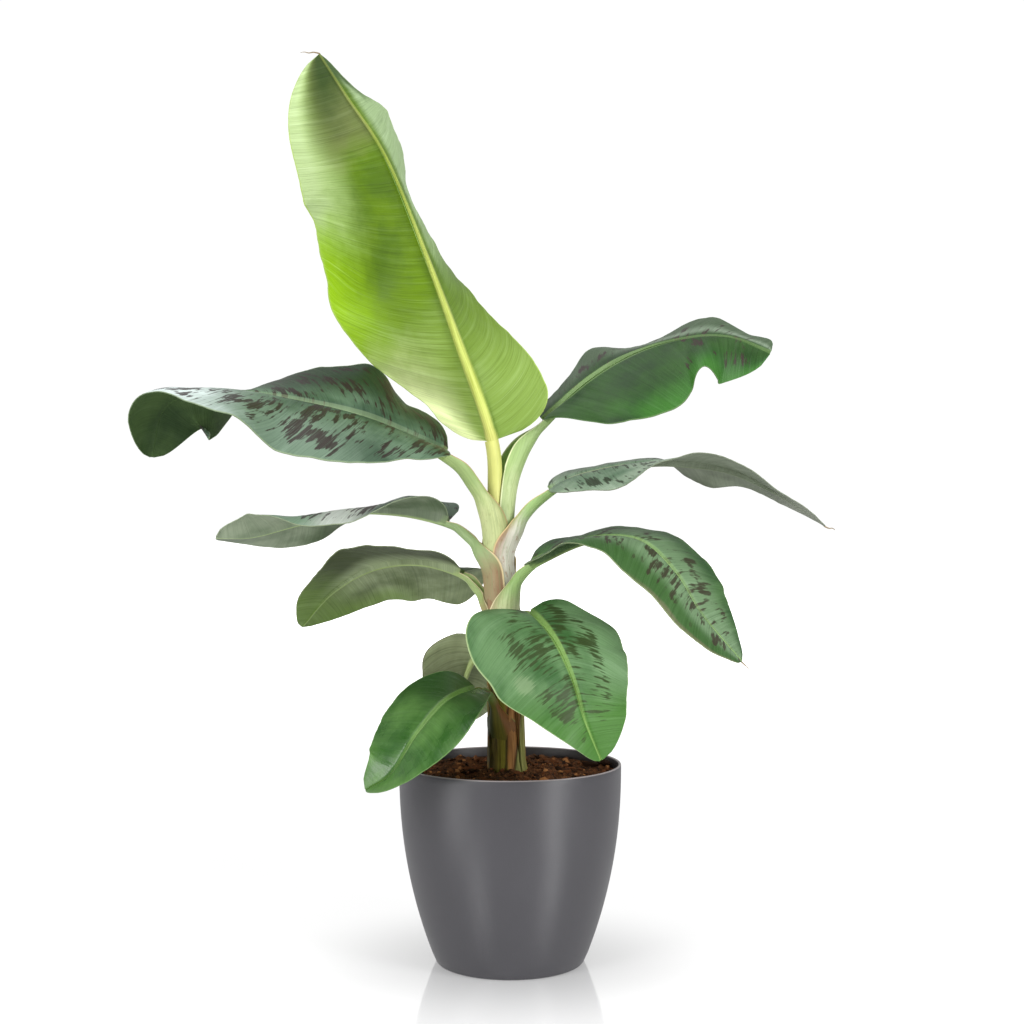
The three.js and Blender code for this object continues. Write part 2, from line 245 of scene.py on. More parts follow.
# ---------------------------------------------------------------------------
# Root ball. Moist peat and coir packed round the roots, a little mounded at the
# stem, its open top broken into crumbs, hollows and short bits of fibre.
SOIL_EDGE_HEIGHT = 0.202
SOIL_RISE = 0.003
SOIL_GAP = 0.0003
SOIL_FIT = POT_WALL + SOIL_GAP
SOIL_SIDES = 220
SOIL_WALL_RINGS = 8
SOIL_RINGS = 44
SWELL_HEIGHT = 0.0048
CLOD_HEIGHT = 0.0092
PIT_DEPTH = 0.0110
FINE_HEIGHT = 0.0016
MOUND_HEIGHT = 0.0035
CRUMBS = 620
CRUMB_SIZES = (0.0018, 0.0058)
CRUMB_GROWTH = (0.8, 0.8, 0.9, 0.9, 1.0, 1.0, 1.2, 1.7, 2.3)
CRUMB_STRETCH = (1.0, 1.0, 1.3, 2.2)
CRUMB_KINDS = 5
CRUMB_LIFT = 0.12  # share of its size that a crumb's middle lies above the mix
CRUMB_PAINTS = {"crumb_dark": (38, 22, 12), "crumb_brown": (94, 56, 32), "crumb_coir": (150, 102, 62)}

soil_skin = Turning("root_ball_mix", 0.060, POT_FLOOR + SOIL_GAP, SOIL_SIDES)
for level in range(SOIL_WALL_RINGS + 1):
    rise = (SOIL_EDGE_HEIGHT - POT_FLOOR - SOIL_GAP) * level / SOIL_WALL_RINGS
    height = POT_FLOOR + SOIL_GAP + rise
    soil_skin.ring(pot_radius(height) - SOIL_FIT, height)
soil_edge = pot_radius(SOIL_EDGE_HEIGHT) - SOIL_FIT
for ring in range(1, SOIL_RINGS):
    share = ring / SOIL_RINGS
    soil_skin.ring(soil_edge * (1 - share), SOIL_EDGE_HEIGHT + SOIL_RISE * share)
soil = soil_skin.close()


def soil_noise(x, y, waves, layer):
    return noise.noise(Vector((x * waves, y * waves, layer)))


def soil_height(x, y):
    """Uneven top of the mix: low swells, clods, pits, grains and a mound at the stem."""
    reach = math.hypot(x, y) / soil_edge
    swell = soil_noise(x, y, 28, 1.7) * SWELL_HEIGHT
    clods = abs(soil_noise(x, y, 62, 5.1)) * CLOD_HEIGHT - 0.0018
    pits = -max(0.0, soil_noise(x, y, 110, 9.3) - 0.10) * PIT_DEPTH
    fine = soil_noise(x, y, 420, 3.3) * FINE_HEIGHT
    mound = MOUND_HEIGHT * max(0.0, 1 - reach * 1.6)
    return (swell + clods + pits + fine + mound) * min(1.0, (1 - reach) * 14)


for vertex in soil.data.vertices:
    if vertex.co.z >= SOIL_EDGE_HEIGHT - 1e-5:
        vertex.co.z += soil_height(vertex.co.x, vertex.co.y)
bpy.ops.object.shade_smooth_by_angle(angle=math.radians(60))

peat = Finish("peat_mix", roughness=0.95, specular=0.15)
lumps = peat.grain(peat.place(), scale=120, detail=6, rough=0.7)
fibre = peat.grain(peat.place(), scale=600, detail=4, rough=0.7, warp=1.2)
peat_brown = peat.mix(peat.step(lumps, 0.35, 0.68), (30, 17, 9), (104, 64, 36))
peat.set("Base Color", peat.mix(peat.step(fibre, 0.54, 0.70), peat_brown, (150, 104, 64)))
peat.relief(peat.plus(lumps, fibre), 0.0012, 0.9)
soil.data.materials.append(peat.material)

for crumb_name, colour in CRUMB_PAINTS.items():
    crumb_finish = Finish(crumb_name, roughness=0.95, specular=0.1)
    crumb_finish.set("Base Color", colour)
    crumb_finish.relief(crumb_finish.grain(crumb_finish.place(), scale=900, detail=3), 0.0005, 0.6)
    soil.data.materials.append(crumb_finish.material)

shake = random.Random(41)
nothing_selected()
crumb_shapes = []
for kind in range(CRUMB_KINDS):
    bpy.ops.mesh.primitive_ico_sphere_add(subdivisions=1, radius=0.5, location=(0, 0, 0))
    crumb = bpy.context.object
    for vertex in crumb.data.vertices:
        vertex.co *= shake.uniform(0.62, 1.2)
    crumb.data.transform(Matrix.Diagonal((1, shake.uniform(0.45, 0.9), shake.uniform(0.35, 0.8), 1)))
    crumb_shapes.append(crumb)
crumb_copies = []
while len(crumb_copies) < CRUMBS:
    turn = shake.uniform(0, math.tau)
    reach = soil_edge * math.sqrt(shake.uniform(0.02, 0.95))
    x, y = reach * math.cos(turn), reach * math.sin(turn)
    size = shake.uniform(*CRUMB_SIZES) * shake.choice(CRUMB_GROWTH)
    copy_mesh = shake.choice(crumb_shapes).data.copy()
    height = SOIL_EDGE_HEIGHT + SOIL_RISE * (1 - reach / soil_edge) + soil_height(x, y)
    stretch = shake.choice(CRUMB_STRETCH)
    copy_mesh.transform(
        Matrix.Translation((x, y, height + size * CRUMB_LIFT))
        @ Matrix.Rotation(shake.uniform(0, math.tau), 4, "Z")
        @ Matrix.Rotation(shake.uniform(-0.5, 0.5), 4, "X")
        @ Matrix.Diagonal((size * stretch, size, size, 1)))
    for slot in range(4):
        copy_mesh.materials.append(soil.data.materials[slot])
    slot = shake.choice((1, 2, 2, 2, 3))
    for face in copy_mesh.polygons:
        face.material_index = slot
    crumb_copies.append(bpy.data.objects.new("crumb", copy_mesh))
    bpy.context.collection.objects.link(crumb_copies[-1])
nothing_selected()
for crumb in crumb_shapes:
    bpy.data.objects.remove(crumb)
for crumb in crumb_copies:
    crumb.select_set(True)
soil.select_set(True)
bpy.context.view_layer.objects.active = soil
bpy.ops.object.join()
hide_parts("root_ball")
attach(soil, "root")


# ---------------------------------------------------------------------------
# Pseudostem. The upright false trunk of rolled leaf bases, each sheath lapped
# over the next, waxy and blotched olive to brown, a little flared where it roots.

# the bundle of sheaths: x, y and height of its axis and its radius, in millimetres
STEM = [
    (-3, 0, 203, 24), (-3, 0, 209, 22), (-3, 0, 217, 20.5), (-5, 0, 275, 19.5), (-7, 0, 330, 17),
    (-10, 0, 385, 15.5), (-12, 0, 425, 15), (-13, -2, 446, 13), (-12.5, -5, 475, 10.5),
    (-12, -8, 500, 8.2), (-13, -10, 530, 7.2)]
STEM_FOOT = 203.0
STEM_TOP = 446.0
STEM_AROUND = 120
STEM_ALONG = 150
STEM_INSET = 0.9
LAP_STEP = 1.5  # how far a lapped margin stands out
LAP_LINE = 3.0  # degrees round the stem that the line along it takes
FIBRE_RELIEF = 0.35
MM = 0.001


def stem_at(heights):
    """Axis points and radii of the bundle of sheaths, in millimetres."""
    table = np.array(STEM, float)
    axis = np.stack([np.interp(heights, table[:, 2], table[:, k]) for k in (0, 1)], axis=-1)
    return axis, np.interp(heights, table[:, 2], table[:, 3])


def soft(value, low, high):
    share = np.clip((value - low) / (high - low), 0, 1)
    return share * share * (3 - 2 * share)


def sheet(name, along, across):
    """A flat grid to be shaped: its object and each corner's two shares of the sheet."""
    nothing_selected()
    bpy.ops.mesh.primitive_grid_add(x_subdivisions=along, y_subdivisions=across, size=1)
    piece = bpy.context.object
    piece.name = piece.data.name = name
    corners = np.empty(len(piece.data.vertices) * 3)
    piece.data.vertices.foreach_get("co", corners)
    corners = corners.reshape(-1, 3) + 0.5
    rows = np.rint(corners[:, 0] * along).astype(int)
    columns = np.rint(corners[:, 1] * across).astype(int)
    while piece.data.uv_layers:
        piece.data.uv_layers.remove(piece.data.uv_layers[0])
    return piece, rows, columns


def shape(piece, points):
    """Moves every corner to its place, given in millimetres."""
    piece.data.vertices.foreach_set("co", (np.asarray(points) * MM).ravel())
    piece.data.update()


def chart(piece, name, values):
    """A UV map that holds two values of each corner."""
    layer = piece.data.uv_layers.new(name=name)
    owners = np.empty(len(piece.data.loops), dtype=int)
    piece.data.loops.foreach_get("vertex_index", owners)
    layer.data.foreach_set("uv", np.asarray(values)[owners].ravel())


# margins of lapped sheaths: heights and degrees round the stem, where the front is -90
SHEATH_MARGINS = [
    [(203, -160), (240, -140), (275, -130), (330, -150)],
    [(203, -94), (236, -90), (262, -86), (300, -70)],
    [(203, -73), (263, -39), (300, -10)],
    [(203, 40), (260, 62), (330, 90), (400, 120)],
    [(203, 130), (280, 150), (350, 175), (420, 200)],
]

stem, rows, columns = sheet("pseudostem", STEM_ALONG, STEM_AROUND)
heights = STEM_FOOT + (STEM_TOP - STEM_FOOT) * rows / STEM_ALONG
around = -columns / STEM_AROUND * 360.0 + 90.0
axis, radius = stem_at(heights)
swell = np.zeros_like(heights)
lap = np.zeros_like(heights)
for margin in SHEATH_MARGINS:
    line = np.array(margin, float)
    at = np.interp(heights, line[:, 0], line[:, 1])
    past = (around - at + 180) % 360 - 180
    swell += LAP_STEP * soft(past, -1.5, 2.5) * (1 - soft(past, 10, 80))
    lap = np.maximum(lap, np.exp(-((past + 1.0) / LAP_LINE) ** 2))
ribs = np.array([noise.noise(Vector((a * 0.16, h * 0.006, 2.0))) for a, h in zip(around, heights)])
radius = radius + swell - STEM_INSET + FIBRE_RELIEF * ribs
turn = np.radians(around)
shape(stem, np.stack([axis[:, 0] + radius * np.cos(turn),
                      axis[:, 1] + radius * np.sin(turn), heights], axis=1))
chart(stem, "sheath_place", np.stack([(around + 270.0) / 360.0, heights / 100.0], axis=1))
chart(stem, "sheath_lap", np.stack([lap, np.zeros_like(lap)], axis=1))
only(stem)
bpy.ops.object.mode_set(mode="EDIT")
bpy.ops.mesh.select_mode(type="EDGE")
bpy.ops.mesh.select_all(action="SELECT")
bpy.ops.mesh.remove_doubles(threshold=1e-6)
bpy.ops.mesh.select_all(action="DESELECT")
bpy.ops.mesh.select_non_manifold()
bpy.ops.mesh.edge_face_add()
bpy.ops.mesh.select_all(action="SELECT")
bpy.ops.mesh.normals_make_consistent(inside=False)
bpy.ops.object.mode_set(mode="OBJECT")
bpy.ops.object.shade_smooth_by_angle(angle=math.radians(60))

bark = Finish("pseudostem_sheath", roughness=0.55, specular=0.15)
turn_share, height_dm = bark.chart("sheath_place")
lap_line = bark.chart("sheath_lap")[0]
fibres = bark.grain(bark.point(turn_share, 60, height_dm, 2.2), detail=4)
patches = bark.grain(bark.point(turn_share, 9, height_dm, 3.0, 4.0), detail=5, rough=0.65)
streaked = bark.step(fibres, 0.3, 0.7)
olive = bark.mix(streaked, (90, 82, 20), (132, 124, 46))
green_side = bark.mix(streaked, (92, 92, 40), (146, 146, 84))
browned = bark.mix(streaked, (112, 74, 34), (160, 114, 62))
dried = bark.mix(bark.step(fibres, 0.35, 0.65), (62, 50, 16), (102, 90, 32))
turn_here = bark.plus(turn_share, bark.sway(patches, 0.05))
# from the left of the front: nearly black where an old sheath has dried, olive, brown,
# and past the slanting margin on the right the green of the outermost sheath
body = bark.mix(bark.step(turn_here, 0.41, 0.46), dried, olive)
body = bark.mix(bark.step(turn_here, 0.485, 0.515), body, browned)
slant = bark.minus(turn_share, bark.times(height_dm, 0.157))
body = bark.mix(bark.step(slant, 0.225, 0.232), body, green_side)
back_patches = bark.mix(bark.step(patches, 0.42, 0.60), olive, browned)
body = bark.mix(bark.step(turn_share, 0.68, 0.74), body, back_patches)
body = bark.mix(bark.step(turn_share, 0.26, 0.34, 1.0, 0.0), body, back_patches)
body = bark.mix(bark.step(height_dm, 3.2, 3.7), body, (150, 122, 92))
bark.set("Base Color", bark.mix(bark.times(lap_line, 0.85), body, (30, 18, 8)))
bark.set("Roughness", bark.step(patches, 0.3, 0.7, 0.45, 0.65))
bark.relief(bark.plus(fibres, bark.times(patches, 0.6)), 0.0006, 0.6)
stem.data.materials.append(bark.material)
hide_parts("trunk")
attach(stem, "root")


# ---------------------------------------------------------------------------
# Leaf stalks. Fleshy gutters that wrap the stem as open sheaths and draw in to
# a channelled stalk under each blade; the thin margins are cream to tan.

# `path` runs from inside the stem along stalk and midrib to the tip, in
# millimetres; the blade opens at point `blade`. `stalk` is the half width at the
# stalk's two ends, `layer` how far its sheath lies out on the stem, `wraps` the
# degrees that its margins reach round it, and `opens` the distances from the
# stem's axis between which it turns into a stalk. Each half of a blade has its
# half widths and the angles it is lifted by, in even steps, and its arch.
LEAVES = {
    "leaf_1": dict(
        heading=-90, blade=2, stalk=(9, 7.5), layer=0.0,
        path=[(-13, -1, 425), (-16, -8, 497), (-20, -14, 561), (-49, -30, 650), (-84, -48, 747),
              (-127, -64, 851), (-171, -62, 919), (-201, -42, 968)],
        left=([68, 70, 80, 85, 95, 95, 90, 70, 45], [0, 25, 60, 78, 88, 90, 75, 60, 60], 20),
        right=([47, 70, 95, 115, 128, 116, 100, 75, 50], [40, 36, 16, 12, 28, 28, 20, 20, 10], 20)),
    "leaf_2": dict(
        heading=-160, blade=3, stalk=(10, 7.5), layer=1.2, wraps=(140, 170),
        path=[(-13, -3, 412), (-19, -16, 475), (-40, -30, 516), (-67, -45, 546), (-140, -70, 580),
              (-210, -90, 598), (-279, -104, 608), (-326, -108, 605), (-354, -104, 586), (-366, -96, 540)],
        left=([45, 60, 82, 92, 88, 86, 78, 52, 30], [-10, -30, -38, -40, -42, -24, -8, 40, 55], -40),
        right=([45, 60, 88, 86, 82, 88, 68, 52, 32], [45, 34, 42, 32, 20, -5, -45, -70, -75], -20)),
    "leaf_3": dict(
        heading=5, blade=3, stalk=(10, 6.5), layer=0.6, wraps=(170, 96), opens=(5, 44),
        path=[(-10, 3, 425), (-8, 5, 497), (10, 4, 551), (36, 2, 584), (85, 10, 629), (138, 20, 660),
              (191, 25, 675), (241, 15, 675), (282, 0, 657)],
        left=([25, 42, 60, 74, 75, 70, 54, 32, 30], [20, 12, 14, 18, 6, 10, 28, 24, 60], -10),
        right=([40, 65, 80, 85, 85, 75, 56, 60, 44], [-5, -40, -50, -55, -56, -50, -40, -70, -90], -26)),
    "leaf_4": dict(
        heading=175, blade=3, stalk=(9, 5.5), layer=2.2, wraps=(112, 170),
        path=[(-12, -3, 372), (-25, -2, 432), (-49, 8, 461), (-68, 16, 474), (-121, 30, 485),
              (-183, 40, 485), (-242, 44, 470), (-288, 38, 456), (-323, 24, 455)],
        left=([25, 36, 48, 50, 52, 53, 50, 44, 30], [50, 26, 0, -15, -15, -5, 15, 35, 50], -60),
        right=([60, 58, 54, 50, 46, 46, 44, 35, 26], [20, 15, 16, 0, -16, -30, -24, -10, -10], -10)),
    "leaf_5": dict(
        heading=-5, blade=2.6, stalk=(9.5, 6.5), layer=1.8, wraps=(170, 108),
        path=[(-8, -3, 380), (-5, -8, 443), (21, -14, 489), (56, -20, 518), (96, -26, 531), (138, -32, 537),
              (177, -38, 537), (233, -40, 528), (281, -34, 505), (336, -20, 469)],
        left=([28, 34, 45, 52, 60, 56, 44, 32, 22], [20, 8, 4, 4, -14, -20, -10, -10, 0], -10),
        right=([30, 42, 54, 54, 50, 45, 37, 30, 24], [-15, -26, -26, -8, 10, 8, 0, 4, 0], -10)),
    "leaf_6": dict(
        heading=140, blade=3, stalk=(8.5, 5.5), layer=2.0, wraps=(88, 170),
        path=[(-9, 2, 325), (-19, 8, 377), (-36, 16, 401), (-53, 24, 418), (-101, 60, 429), (-155, 95, 421),
              (-203, 120, 394), (-242, 130, 350)],
        left=([26, 45, 58, 62, 63, 58, 48, 40, 28], [40, 22, 15, 15, 15, 6, 2, 0, -5], -10),
        right=([40, 78, 88, 70, 62, 56, 49, 38, 26], [5, -20, -35, -36, -38, -30, -24, -12, 5], -15)),
    "leaf_7": dict(
        heading=-35, blade=2.4, stalk=(8.5, 6), layer=2.6, wraps=(170, 120),
        path=[(-6, -2, 330), (-1, -14, 389), (15, -24, 422), (37, -36, 438), (84, -60, 457),
              (134, -85, 455), (169, -100, 423), (195, -108, 380), (235, -105, 332)],
        left=([30, 44, 56, 60, 61, 59, 53, 42, 30], [40, 18, 12, 6, 4, 5, 10, 8, 0], -15),
        right=([34, 46, 56, 64, 61, 54, 44, 34, 24], [-14, -12, -6, -10, -14, -14, -10, -4, 5], -15)),
    "leaf_8": dict(
        heading=-65, blade=3, stalk=(8, 5), layer=1.2, wraps=(120, 120),
        path=[(-5, -3, 290), (-1, -21, 347), (5, -38, 370), (19, -62, 379), (43, -120, 359),
              (62, -150, 320), (74, -160, 278), (89, -158, 240)],
        left=([22, 45, 72, 79, 79, 70, 56, 42, 27], [40, 12, 0, -10, -12, -15, -10, 0, 8], -20),
        right=([30, 62, 85, 88, 81, 74, 46, 24, 14], [8, 8, 0, -10, -10, -10, -10, 10, 15], -20)),
    "leaf_9": dict(
        heading=120, blade=3, stalk=(6.5, 4), layer=1.0, wraps=(100, 100),
        path=[(-5, 4, 264), (-13, 20, 311), (-19, 32, 330), (-27, 46, 333), (-43, 66, 315), (-56, 86, 282),
              (-74, 98, 244)],
        left=([20, 38, 55, 55, 51, 46, 36, 22, 14], [50, 30, 12, 0, 0, 0, 0, 0, 4], -10),
        right=([14, 24, 36, 44, 51, 52, 45, 33, 22], [-30, -15, 0, 0, 0, -4, -8, -14, -20], -10)),
    "leaf_10": dict(
        heading=-125, blade=3, stalk=(6.5, 4), layer=0.9, wraps=(95, 95),
        path=[(-5, -4, 232), (-17, -24, 278), (-26, -36, 293), (-36, -50, 298), (-67, -85, 289),
              (-96, -112, 257), (-119, -122, 221), (-145, -118, 203)],
        left=([21, 35, 49, 53, 51, 45, 36, 26, 18], [0, 0, 0, 0, -4, 0, 14, 30, 40], -15),
        right=([21, 37, 50, 53, 52, 46, 38, 31, 21], [42, 26, 10, 4, 2, 2, 8, 20, 25], -15)),
}
RIB_DEPTH = 1.3  # depth of the gutter under the blade, as a share of its half width
STALK_STEP = 3.0
STALK_COLUMNS = 36
STALK_WRAP = 138  # degrees that a free stalk's margins reach round, to each side
BLADE_WRAP = 90  # the same where its blade opens
ROOT_DEPTH = 2.4  # how deep in the stem a sheath starts, and in what length it comes out
ROOT_RUN = 26
MARGIN_FLESH = 0.8
SHEATH_FLESH = 0.6
STALK_FLESH = 0.48  # share of a free stalk's radius
STALK_FLESH_LIMIT = 5.0


def smooth(values, place):
    """Smooth values at places (0 = first entry) of a list of numbers or points."""
    values = np.asarray(values, float)
    i = np.clip(np.floor(place).astype(int), 0, len(values) - 2)
    t = place - i
    if values.ndim > 1:
        t = t[:, None]
    listed = np.concatenate([[2 * values[0] - values[1]], values, [2 * values[-1] - values[-2]]])
    a, b, c, d = listed[i], listed[i + 1], listed[i + 2], listed[i + 3]
    return 0.5 * (2 * b + (c - a) * t + (2 * a - 5 * b + 4 * c - d) * t ** 2
                  + (3 * b - a - 3 * c + d) * t ** 3)


def walk(path, start, end, step):
    """Even steps along the path: points, directions, shares and the whole length."""
    fine = np.linspace(start, end, 241)
    points = smooth(path, fine)
    lengths = np.r_[0, np.cumsum(np.linalg.norm(np.diff(points, axis=0), axis=1))]
    share = np.linspace(0, 1, max(4, round(lengths[-1] / step)) + 1)
    place = np.interp(share * lengths[-1], lengths, fine)
    along = (smooth(path, np.minimum(place + 0.01, len(path) - 1))
             - smooth(path, np.maximum(place - 0.01, 0)))
    along /= np.linalg.norm(along, axis=1)[:, None]
    return smooth(path, place), along, share, lengths[-1]


def leaf_frame(along, heading):
    """Directions across a leaf, to its left, and out of its upper face."""
    turn = math.radians(heading)
    side = np.array([-math.sin(turn), math.cos(turn), 0.0])
    side = side - (along @ side)[:, None] * along
    side /= np.linalg.norm(side, axis=1)[:, None]
    return side, np.cross(along, side)


def thicken(piece, thickness, limit, skins):
    """Gives a sheet its own thickness at each corner, in millimetres and up to a limit,
    inwards or upwards. Its skins are the grown side, the first side and the rim."""
    for skin in skins:
        piece.data.materials.append(skin)
    flesh = piece.vertex_groups.new(name="flesh")
    for index, value in enumerate(thickness):
        flesh.add([index], float(min(1.0, value / limit)), "REPLACE")
    only(piece)
    wall = piece.modifiers.new("flesh", "SOLIDIFY")
    wall.thickness = limit * MM
    wall.offset = 1
    wall.vertex_group = "flesh"
    wall.thickness_vertex_group = 0.0
    wall.material_offset = 1
    wall.material_offset_rim = 2
    bpy.ops.object.modifier_apply(modifier="flesh")
    piece.vertex_groups.clear()
    bpy.ops.object.shade_smooth_by_angle(angle=math.radians(70))


BY_AGE = ["leaf_1", "leaf_3", "leaf_2", "leaf_5", "leaf_4",
          "leaf_7", "leaf_6", "leaf_8", "leaf_9", "leaf_10"]  # the oldest is last and outermost
LAP_REACH = 6.0
LAP_GAP = 0.25


def laid_outside(corners, centres, flesh, rows, columns, younger):
    """Moves the corners of a sheath out over the younger stalks that it wraps."""
    lift = np.zeros((rows.max() + 1, columns.max() + 1))
    for corner, centre, wall, row, column in zip(corners, centres, flesh, rows, columns):
        outwards = Vector((corner[0] - centre[0], corner[1] - centre[1], 0)).normalized()
        start = Vector(corner) * MM - outwards * (wall * MM)
        for skin in younger:
            gone = 0.0
            while gone < LAP_REACH * MM:
                struck = skin.ray_cast(start + outwards * gone, outwards, LAP_REACH * MM - gone)
                if struck[0] is None:
                    break
                gone += struck[3] + 1e-5
                lift[row, column] = max(lift[row, column], gone / MM + LAP_GAP)
    tall, wide = lift.shape
    padded = np.pad(lift, 1)
    spread = np.max([padded[i:i + tall, k:k + wide] for i in range(3) for k in range(3)], axis=0)
    for _ in range(3):
        padded = np.pad(spread, 1, mode="edge")
        spread = (padded[:-2, 1:-1] + padded[2:, 1:-1] + padded[1:-1, :-2] + padded[1:-1, 2:]
                  + 2 * padded[1:-1, 1:-1]) / 6
    away = corners[:, :2] - centres
    away /= np.maximum(np.linalg.norm(away, axis=1), 1e-6)[:, None]
    corners[:, :2] += away * spread[rows, columns][:, None]
    return corners


def sheath_radius(stem_radius, layer, run):
    """Radius of a sheath that comes out of the stem and then lies on it."""
    return stem_radius + layer - (layer + ROOT_DEPTH) * (1 - soft(run, 0, ROOT_RUN))


def make_stalk(name, leaf, skins, younger):
    """A leaf's sheath and stalk, as one gutter that opens along its path."""
    points, along, share, length = walk(leaf["path"], 0, leaf["blade"], STALK_STEP)
    side, up = leaf_frame(along, leaf["heading"])
    layer = leaf["layer"]
    radius = leaf["stalk"][0] + (leaf["stalk"][1] - leaf["stalk"][0]) * share
    run = share * length
    axis, stem_radius = stem_at(points[:, 2])
    wrap = sheath_radius(stem_radius, layer, run)
    away = points[:, :2] - axis
    apart = np.linalg.norm(away, axis=1)
    turn = math.radians(leaf["heading"])
    towards = away + 3.0 * np.array([math.cos(turn), math.sin(turn)])
    towards /= np.linalg.norm(towards, axis=1)[:, None]
    free = soft(apart, *leaf.get("opens", (5, 27))) if layer else np.ones_like(apart)
    outer = np.maximum(wrap, apart + radius) if layer else apart + radius
    inner = -wrap + (apart - radius + wrap) * free
    big = np.where(free >= 1, radius, (outer - inner) / 2)
    middle = points.copy()
    shift = (axis + towards * ((outer + inner) / 2)[:, None]) - points[:, :2]
    middle[:, :2] += shift * (1 - free)[:, None]
    foot = soft(share, 0.75, 1.0)
    deep = 1 + (RIB_DEPTH - 1) * foot

    piece, rows, columns = sheet(name + "_stalk", len(share) - 1, STALK_COLUMNS)
    phi_share = columns / STALK_COLUMNS * 2 - 1
    wraps = np.where(phi_share > 0, *leaf.get("wraps", (170, 170)))
    opened = (wraps + (STALK_WRAP - wraps) * free[rows] ** 0.8) * (1 - foot[rows])
    phi = phi_share * np.radians(opened + BLADE_WRAP * foot[rows])
    corners = (middle[rows]
               + (big[rows] * np.sin(phi))[:, None] * side[rows]
               - (big[rows] * deep[rows] * np.cos(phi))[:, None] * up[rows])
    # where the sheath hugs the stem, it lies on what it wraps
    near_axis, near_radius = stem_at(corners[:, 2])
    inside = sheath_radius(near_radius, layer, run[rows])
    spread = corners[:, :2] - near_axis
    reach_out = np.maximum(np.linalg.norm(spread, axis=1), 1e-6)
    if layer:
        keep = np.maximum(reach_out, inside * (1 - soft(free[rows], 0.9, 1.0)))
        corners[:, :2] = near_axis + spread * (keep / reach_out)[:, None]
    middle_share = 1 - np.abs(phi_share) ** 2.5
    thick = SHEATH_FLESH + (STALK_FLESH * radius[rows] - SHEATH_FLESH) * free[rows]
    flesh = MARGIN_FLESH + middle_share * thick
    corners = laid_outside(corners, near_axis, flesh, rows, columns, younger)
    shape(piece, corners)
    chart(piece, "run", np.stack([(length - run[rows]) / 100, phi * big[rows] / 100], axis=1))
    chart(piece, "share", np.stack([share[rows], phi_share], axis=1))
    thicken(piece, flesh, STALK_FLESH_LIMIT, skins)
    return piece


# seen colours of the stalk, of the lower sheath, of the flush on it and of its margin,
# and the share of the length where the stalk's colour starts
STALK_LOOKS = {
    "leaf_1": ((209, 211, 121), (224, 222, 138), (206, 196, 104), (238, 238, 170), 0.62),
    "leaf_2": ((150, 173, 108), (195, 204, 145), (163, 166, 112), (180, 150, 108), 0.62),
    "leaf_3": ((158, 185, 118), (190, 205, 149), (162, 181, 120), (216, 224, 174), 0.62),
    "leaf_4": ((155, 180, 124), (158, 138, 102), (134, 92, 68), (210, 192, 148), 0.50),
    "leaf_5": ((152, 184, 116), (210, 206, 192), (152, 104, 72), (204, 182, 132), 0.70),
    "leaf_6": ((156, 176, 112), (170, 138, 100), (130, 88, 60), (204, 192, 150), 0.56),
    "leaf_7": ((144, 176, 106), (196, 206, 154), (170, 150, 112), (214, 204, 160), 0.62),
    "leaf_8": ((118, 148, 84), (128, 82, 60), (88, 46, 32), (150, 130, 92), 0.66),
    "leaf_9": ((124, 136, 84), (92, 88, 34), (92, 62, 30), (150, 138, 96), 0.62),
    "leaf_10": ((104, 134, 72), (82, 84, 24), (88, 60, 22), (120, 114, 60), 0.66),
}

laid = []
for name in BY_AGE:
    leaf = LEAVES[name]
    body_paint, sheath_paint, flush_paint, margin_paint, greens = STALK_LOOKS[name]
    outermost = name == "leaf_10"  # its sheath goes on in the dull colours of the trunk below
    shine = 0.12 if outermost else 0.35
    darker = 0.42 if outermost else 0.80
    skins = []
    for layer_name in ("gutter", "back", "margin"):
        skin = Finish(f"{name}_stalk_{layer_name}", roughness=0.48, specular=shine)
        run_dm, girth_dm = skin.chart("run")
        share_along, share_round = skin.chart("share")
        off_middle = skin.reckon("ABSOLUTE", share_round)
        threads = skin.grain(skin.point(run_dm, 3.0, girth_dm, 60.0, 2.0), detail=4)
        stains = skin.grain(skin.point(run_dm, 5.0, girth_dm, 9.0, 7.0), detail=5, rough=0.65)
        specks = skin.grain(skin.point(run_dm, 12.0, girth_dm, 34.0, 3.0), detail=4, rough=0.6)
        specks = skin.plus(specks, skin.times(stains, 0.5))
        flushed = skin.mix(skin.step(specks, 0.78, 1.0, 0.0, 0.8), sheath_paint, flush_paint)
        near_edge = skin.step(skin.plus(off_middle, skin.times(stains, 0.4)), 0.75, 1.25)
        flushed = skin.mix(near_edge, flushed, flush_paint)
        if outermost:
            flushed = skin.mix(skin.step(share_round, -0.15, 0.12), (58, 62, 24), (100, 94, 36))
            flushed = skin.mix(skin.step(share_round, 0.30, 0.50), flushed, (122, 82, 44))
        up_stalk = skin.plus(share_along, skin.times(stains, 0.3))
        tone = skin.mix(skin.step(up_stalk, greens, greens + 0.28), flushed, body_paint)
        shade = tuple(channel * darker for channel in body_paint)
        tone = skin.mix(skin.times(skin.step(threads, 0.4, 0.75), 0.45), tone, shade)
        # painted light: the gutter's inner face is painted lighter than the stalk, standing in for light
        # that shines through the thin flesh into the hollow
        if layer_name == "gutter":
            tone = skin.mix(0.6, tone, tuple(min(255, channel * 1.15) for channel in body_paint))
        if layer_name == "margin":
            tone = skin.mix(0.15, margin_paint, tone)
        else:
            tone = skin.mix(skin.step(off_middle, 0.93, 0.97), tone, margin_paint)
        skin.set("Base Color", tone)
        skin.set("Roughness", skin.step(stains, 0.3, 0.7, 0.4, 0.56))
        skin.relief(threads, 0.0004, 0.5)
        skins.append(skin.material)
    stalk = make_stalk(name, leaf, skins, laid)
    laid.append(bvhtree.BVHTree.FromPolygons(
        [vertex.co[:] for vertex in stalk.data.vertices],
        [face.vertices[:] for face in stalk.data.polygons]))
    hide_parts(name + "_petiole")
    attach(stalk, "root")


